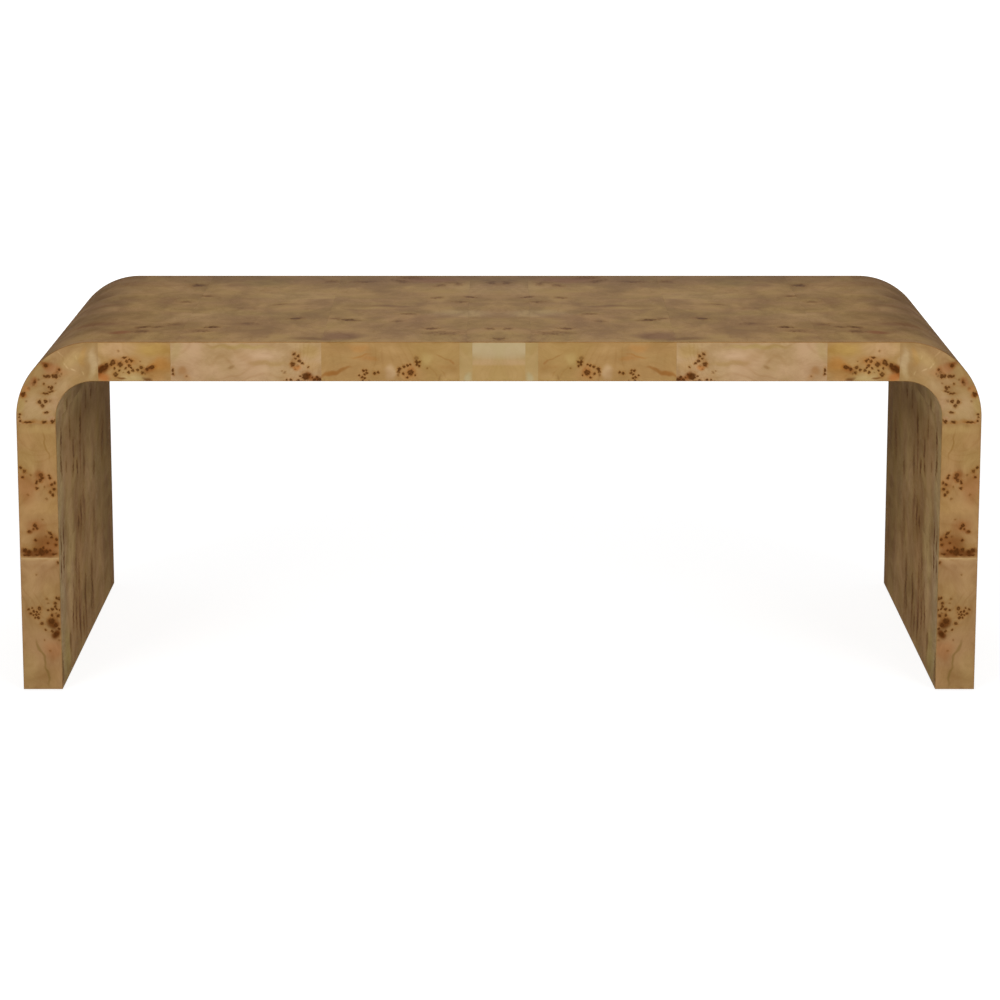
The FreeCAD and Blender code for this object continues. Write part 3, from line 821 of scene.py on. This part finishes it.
# The leaves on the rear edges. They are poplar burl, butted end to end and pressed on as the front
# ones are, but cut from other parts of the burl, so their knots lie in other places.
rear_weave = 1.1 * mm
rear_clusters = [
    (52, 30), (26, 68), (132, 30), (204, 14), (268, 38), (338, 18), (394, 38), (468, 14),
    (536, 34), (586, 12), (18, 146), (38, 254), (24, 342), (40, 356), (14, 420),
]
rear_marks = {
    "washes": [
        (60, 60, 20, 9, 40, 0.5, (150, 104, 62)), (150, 20, 26, 9, 4, 0.5, (184, 152, 104)),
        (300, 30, 30, 8, -6, 0.5, (156, 116, 68)), (420, 16, 30, 8, 8, 0.5, (184, 156, 112)),
        (560, 34, 26, 9, 0, 0.4, (160, 124, 72)), (24, 180, 14, 20, 10, 0.5, (150, 106, 62)),
        (30, 300, 12, 26, 0, 0.5, (182, 148, 100)), (20, 400, 16, 22, 8, 0.5, (154, 112, 66)),
    ],
    "eyes": [],
}
chance = numpy.random.default_rng(5)
for cluster in rear_clusters:
    turn = chance.uniform(-40, 40)
    rear_marks["washes"].append((*cluster, 11, 7, turn, chance.uniform(0.4, 0.8), (142, 94, 50)))
    for _ in range(int(chance.integers(4, 10))):
        rear_marks["eyes"].append((*chance.normal(cluster, (6.5, 4.5)), chance.uniform(0.9, 2.0)))
rear_section = (table_rear - veneer, table_rear, *front_section[2:])
rear_leaves = {
    name: {"ground": marks["ground"], **rear_marks} for name, marks in front_leaves.items()}

lay_edge("rear", rear_section, rear_weave, rear_leaves, 5.0)


# The leaves under the top, round the inner bends and on the inner faces of the legs. They are
# slices of one block of burl, turned over one after the other, and they cover the edge leaves'
# lower rims.
face_weave = 3.0 * mm
face_arris = 0.5 * mm
face_slice_step = 0.02
clusters = 15

# The marks in the faces are written in millimetres: how far from the table's top, from its middle
# or from the leaf's own joint, then how far back from the table's front. A spot is a cluster of
# small eyes: its place, half its length and width, and its strength.
leg_marks = {
    "from": "top", "ground": (157, 126, 85), "sway": 3.0,
    "washes": [
        # The first five washes are painted light and shade: the inner faces lighter along the front edge
        # and in a band just under the bend, darker in a faint band below that and towards the rear.
        (124, 300, 36, 300, 0, 0.25, (140, 112, 70)), (350, 585, 150, 40, 0, 0.45, (134, 98, 62)),
        (240, 570, 260, 130, 0, 0.7, (130, 101, 65)), (98, 340, 26, 420, 0, 0.55, (188, 162, 118)),
        (280, 16, 240, 50, 0, 0.8, (176, 152, 116)), (200, 480, 70, 70, 0, 0.5, (142, 114, 66)),
        (230, 340, 70, 60, 0, 0.4, (180, 150, 108)), (300, 110, 80, 46, 0, 0.5, (184, 156, 112)),
        (300, 220, 60, 40, 0, 0.35, (160, 122, 78)), (380, 180, 50, 46, 0, 0.45, (158, 118, 82)),
        (260, 430, 60, 50, 0, 0.4, (154, 130, 88)), (420, 60, 40, 40, 0, 0.5, (166, 146, 88)),
        (170, 20, 80, 24, 0, 0.5, (182, 154, 108)),
    ],
    "spots": [
        (133, 377, 6, 9, 0.8), (130, 316, 16, 12, 0.5), (146, 254, 20, 11, 0.8), (97, 116, 10, 10, 0.6),
        (141, 138, 14, 9, 0.45), (137, 45, 14, 8, 0.7), (168, 172, 20, 9, 0.6), (185, 241, 34, 10, 0.45),
        (196, 205, 8, 10, 0.85), (168, 44, 14, 8, 0.75), (178, 92, 10, 9, 0.45), (196, 164, 10, 9, 0.7),
        (239, 396, 18, 15, 0.4), (261, 270, 26, 14, 0.35), (272, 234, 16, 10, 0.65),
        (275, 204, 10, 10, 0.8), (309, 382, 36, 20, 0.35), (260, 46, 17, 7, 0.85), (296, 46, 17, 7, 0.85),
        (262, 20, 16, 6, 0.75), (293, 20, 16, 6, 0.75), (401, 348, 24, 12, 0.55), (395, 266, 32, 10, 0.75),
        (396, 163, 22, 9, 0.6), (423, 237, 20, 10, 0.6), (412, 94, 12, 10, 0.6), (424, 8, 18, 8, 0.6),
        (352, 195, 20, 11, 0.55), (350, 138, 14, 9, 0.45), (380, 131, 22, 9, 0.65), (409, 201, 30, 9, 0.75),
        (372, 338, 26, 12, 0.45), (333, 171, 28, 15, 0.4), (416, 330, 16, 10, 0.5),
        (214, 281, 24, 13, 0.35), (214, 500, 26, 16, 0.4),
    ],
}

# The marks of the other leaves fall by chance, within a leaf of 183 by 610 mm.
chance = numpy.random.default_rng(7)
block_marks = {"from": "joint", "ground": (168, 135, 92), "sway": 4.0, "washes": [], "spots": []}
for _ in range(clusters):
    spot = [*chance.uniform((0, 10), (183, 600)), *chance.uniform((7, 7), (12, 14))]
    block_marks["spots"].append((*spot, chance.uniform(0.45, 0.85)))
    near_by = [spot[0] + chance.uniform(-24, 24), spot[1] + chance.uniform(-24, 24)]
    block_marks["spots"].append((*near_by, *chance.uniform((5, 5), (9, 9)), 0.6))
    patch = [*chance.uniform((0, 0), (183, 610)), *chance.uniform((16, 22), (40, 60))]
    shade = ((146, 104, 66), (184, 154, 110), (154, 130, 80))[int(chance.integers(3))]
    block_marks["washes"].append((*patch, chance.uniform(-30, 30), 0.5, shade))

inner_section = (-table_rear, table_rear, slab_under, slab_under + veneer)
face_burl = burl(
    "burl_on_faces", cloud_scale=10.0, drawn_scale=(26.0, 9.0, 30.0),
    combed_scale=(900.0, 150.0, 300.0), line_width=0.12,
    dark=(0.72, 0.66, 0.58), pale=(1.24, 1.29, 1.34), scattered=True)
top_joints = joints_of("top_veneer", 0)


def line_place(points):
    """How far along the slab's line each point lies, from the middle of the table."""
    out, up = abs(points[:, 0]) - bend_x, points[:, 2] - bend_z
    turn = numpy.arctan2(numpy.maximum(out, 0.0), numpy.maximum(up, 0.0))
    return bend_x + numpy.minimum(out, 0.0) + outer_bend * turn + numpy.maximum(-up, 0.0)


top_runs = [(-top_joints[0], top_joints[0]), *zip(top_joints, top_joints[1:])]
leg_runs = list(zip(leg_joints, leg_joints[1:]))
inner_runs = [*top_runs, (top_joints[-1], leg_joints[0]), *leg_runs]
inner_nodes = ["underside_veneer"] * 3 + [corner_node] + [leg_node] * 2


def lay_face(side, runs, packed, section, drawn, block):
    """Lays the leaves of one face of the slab, from the middle of the table outwards.

    Each leaf is turned over from the one before it, so the figure meets itself at the joint."""
    for place, (node, marks, (near, far)) in enumerate(zip(packed, drawn, runs)):
        name = f"{side}_leaf_{place}"
        leaf = laid_leaf(
            name, near + joint_gap / 2, far - joint_gap / 2, section, side, face_weave, face_arris)
        points = points_of(leaf)
        past = abs(line_place(points) - (far, near)[place % 2])
        depth = points[:, 1] + table_rear
        reached = {"joint": past, "middle": abs(points[:, 0]), "top": table_top - points[:, 2]}
        rim = numpy.minimum(depth, 2 * table_rear - depth) < veneer
        draw_marks(leaf, reached[marks["from"]] / mm, depth / mm, marks, rim)
        lay_figure(leaf, past, depth, block + face_slice_step * place, 0)
        leaf.data.materials.append(face_burl)
        set_on(leaf, name, node, side, place > 0)


lay_face(
    "inner", inner_runs, inner_nodes, inner_section, [block_marks] * 3 + [leg_marks] * 3, 9.0)


# The leaves on the top, round the outer bends and on the outer faces of the legs. They are slices
# of one block of burl too, and are glued on last, over the edge leaves' upper rims. The long edges
# of all the faces are then eased.
top_marks = {
    "from": "middle", "ground": (162, 127, 81), "sway": 4.0,
    "washes": [
        # The first two washes are painted shade: the top darker towards its rear edge, and at its outer
        # ends and over the first half of each outer bend.
        (0, 630, 900, 110, 0, 0.8, (128, 98, 66)), (572, 340, 68, 500, 0, 0.68, (122, 95, 71)),
        (330, 530, 40, 34, 0, 0.6, (156, 130, 76)), (100, 565, 46, 34, 0, 0.65, (138, 96, 70)),
        (151, 308, 28, 13, 6, 0.6, (122, 86, 58)), (190, 312, 24, 17, -8, 0.5, (138, 102, 62)),
        (203, 51, 30, 36, 0, 0.65, (120, 84, 60)), (242, 27, 26, 14, 0, 0.65, (124, 88, 56)),
        (285, 325, 20, 12, 20, 0.45, (136, 100, 66)), (337, 292, 34, 13, 0, 0.4, (140, 104, 68)),
        (522, 158, 34, 18, 10, 0.6, (134, 94, 64)), (529, 325, 26, 16, 10, 0.5, (136, 98, 68)),
        (479, 78, 14, 16, 0, 0.75, (142, 88, 54)), (400, 215, 60, 40, 0, 0.35, (184, 150, 104)),
        (272, 400, 60, 50, 0, 0.35, (180, 146, 100)), (330, 240, 60, 34, 0, 0.3, (182, 150, 98)),
        (120, 200, 40, 40, 0, 0.4, (160, 122, 82)), (50, 240, 46, 34, 0, 0.45, (186, 156, 116)),
        (150, 430, 50, 34, 0, 0.35, (158, 120, 80)), (30, 470, 34, 60, 0, 0.35, (184, 148, 108)),
        (440, 440, 50, 40, 0, 0.35, (156, 120, 82)), (380, 60, 70, 30, 0, 0.35, (180, 142, 92)),
        (100, 60, 70, 24, 0, 0.4, (162, 128, 84)),
    ],
    "spots": [
        (262, 196, 10, 11, 0.9), (197, 189, 10, 11, 0.9), (209, 205, 9, 8, 0.5), (80, 392, 10, 10, 0.6),
        (58, 347, 12, 10, 0.6), (36, 392, 7, 9, 0.8), (52, 520, 7, 16, 0.5), (78, 512, 9, 16, 0.55),
        (65, 534, 12, 10, 0.4), (90, 115, 9, 10, 0.85), (84, 80, 16, 14, 0.4), (60, 69, 18, 16, 0.45),
        (115, 241, 9, 8, 0.55), (140, 548, 8, 18, 0.5), (231, 548, 14, 16, 0.5), (188, 548, 18, 13, 0.45),
        (120, 590, 16, 16, 0.6), (12, 116, 8, 10, 0.6), (4, 29, 8, 14, 0.7), (4, 540, 6, 16, 0.6),
        (427, 514, 10, 15, 0.8), (404, 406, 8, 9, 0.75), (424, 354, 11, 12, 0.5), (464, 121, 11, 10, 0.8),
        (443, 125, 7, 10, 0.65), (425, 154, 12, 13, 0.45), (365, 121, 10, 10, 0.8), (383, 96, 14, 18, 0.45),
        (321, 158, 11, 10, 0.45), (300, 330, 9, 8, 0.4), (454, 84, 12, 12, 0.5), (136, 177, 9, 9, 0.45),
    ],
}
outer_section = (-table_rear, table_rear, table_top - veneer, table_top)
outer_joint = (bend_start + bend_end) / 2
outer_runs = [*top_runs, (top_joints[-1], outer_joint), (outer_joint, leg_joints[0]), *leg_runs]
outer_nodes = ["top_veneer"] * 3 + [corner_node] * 2 + [leg_node] * 2
# The leaf from the middle of each outer bend down onto the leg has a darker ground and a dark wash: painted
# shade, going on from the painted shade on the top's outer ends.
bend_marks = {**block_marks, "ground": (160, 128, 87)}
bend_marks["washes"] = [*block_marks["washes"], (84, 300, 50, 420, 0, 0.75, (122, 95, 71))]

lay_face(
    "outer", outer_runs, outer_nodes, outer_section,
    [top_marks] * 4 + [bend_marks] + [block_marks] * 2, 13.0)


# The floor. It is a wide sheet of plain pale lino, laid flat, that shows white to the camera and
# keeps a soft shadow of the table.
floor_side = 60.0
floor_tone = (222, 220, 216)
floor_glow = 0.85
floor_share = 0.3
glow_start = 1.2
glow_end = 3.0


def in_view(tree):
    """One for rays that come from the camera, by way of gloss or clear glass too."""
    ray = add(tree, "LightPath", {}).outputs
    seen = sum_of(tree, ray["Is Camera Ray"], ray["Is Glossy Ray"], "MAXIMUM")
    return sum_of(tree, seen, ray["Is Transmission Ray"], "MAXIMUM")


lino, tree, shader = new_finish("lino")
tree.nodes.remove(shader)
matt = add(tree, "BsdfDiffuse", {"Color": colour(*floor_tone)}).outputs["BSDF"]
faint_matt = add(tree, "BsdfDiffuse", {"Color": (floor_share,) * 3 + (1.0,)}).outputs["BSDF"]
away = add(tree, "VectorMath", {0: place_in(tree)}, operation="LENGTH").outputs["Value"]
brighter = between(tree, away, glow_start, glow_end, floor_glow, 1.0)
glow = add(tree, "Emission", {"Color": (1.0,) * 4, "Strength": brighter}).outputs["Emission"]
seen = add(tree, "AddShader", {0: faint_matt, 1: glow}).outputs["Shader"]
lit = add(tree, "MixShader", {0: in_view(tree), 1: matt, 2: seen}).outputs["Shader"]
clear = add(tree, "BsdfTransparent", {}).outputs["BSDF"]
behind = add(tree, "NewGeometry", {}).outputs["Backfacing"]
both = add(tree, "MixShader", {0: behind, 1: lit, 2: clear}).outputs["Shader"]
tree.links.new(both, tree.nodes["Material Output"].inputs["Surface"])

floor_shape = bmesh.new()
bmesh.ops.create_grid(floor_shape, x_segments=1, y_segments=1, size=floor_side / 2)
floor_mesh = bpy.data.meshes.new("floor")
floor_shape.to_mesh(floor_mesh)
floor_shape.free()
floor_mesh.materials.append(lino)
new_object("floor", floor_mesh)


# The studio. Two square soft lamps stand in front of the table, one to each side, and a weaker one
# behind it. White walls give an even light.
room_light = 0.34
lamp_side = 2.0
lamps = {
    "left_lamp": ((-2.7, -4.7, 2.4), 119.0),
    "right_lamp": ((2.7, -4.7, 2.4), 119.0),
    "rear_lamp": ((0.0, 5.0, 2.0), 90.0),
}
lamp_aim = Vector((0.0, 0.0, 0.25))

world = bpy.data.worlds.new("studio")
world.use_nodes = True
bpy.context.scene.world = world
tree = world.node_tree
walls = tree.nodes["Background"]
walls.inputs["Color"].default_value = (1.0,) * 4
tree.links.new(between(tree, in_view(tree), 0.0, 1.0, room_light, 1.0), walls.inputs["Strength"])

for name, (place, power) in lamps.items():
    light = bpy.data.lights.new(name, "AREA")
    light.shape = "SQUARE"
    light.size = lamp_side
    light.energy = power
    lamp = new_object(name, light)
    lamp.location = place
    lamp.rotation_euler = (lamp_aim - Vector(place)).to_track_quat("-Z", "Y").to_euler()


# The camera. It stands in front of the table's middle, a little above it, and looks down through a
# long lens, as for the photograph.
camera_place = (0.0014, -4.636, 1.136)
camera_pitch = math.radians(11.57)
camera_lens = 125.35
camera_sensor = 36.0

camera_data = bpy.data.cameras.new("camera")
camera_data.lens = camera_lens
camera_data.sensor_width = camera_sensor
camera = new_object("camera", camera_data)
camera.location = camera_place
camera.rotation_euler = (math.pi / 2 - camera_pitch, 0.0, 0.0)
bpy.context.scene.camera = camera
bpy.context.scene.view_settings.view_transform = "Standard"
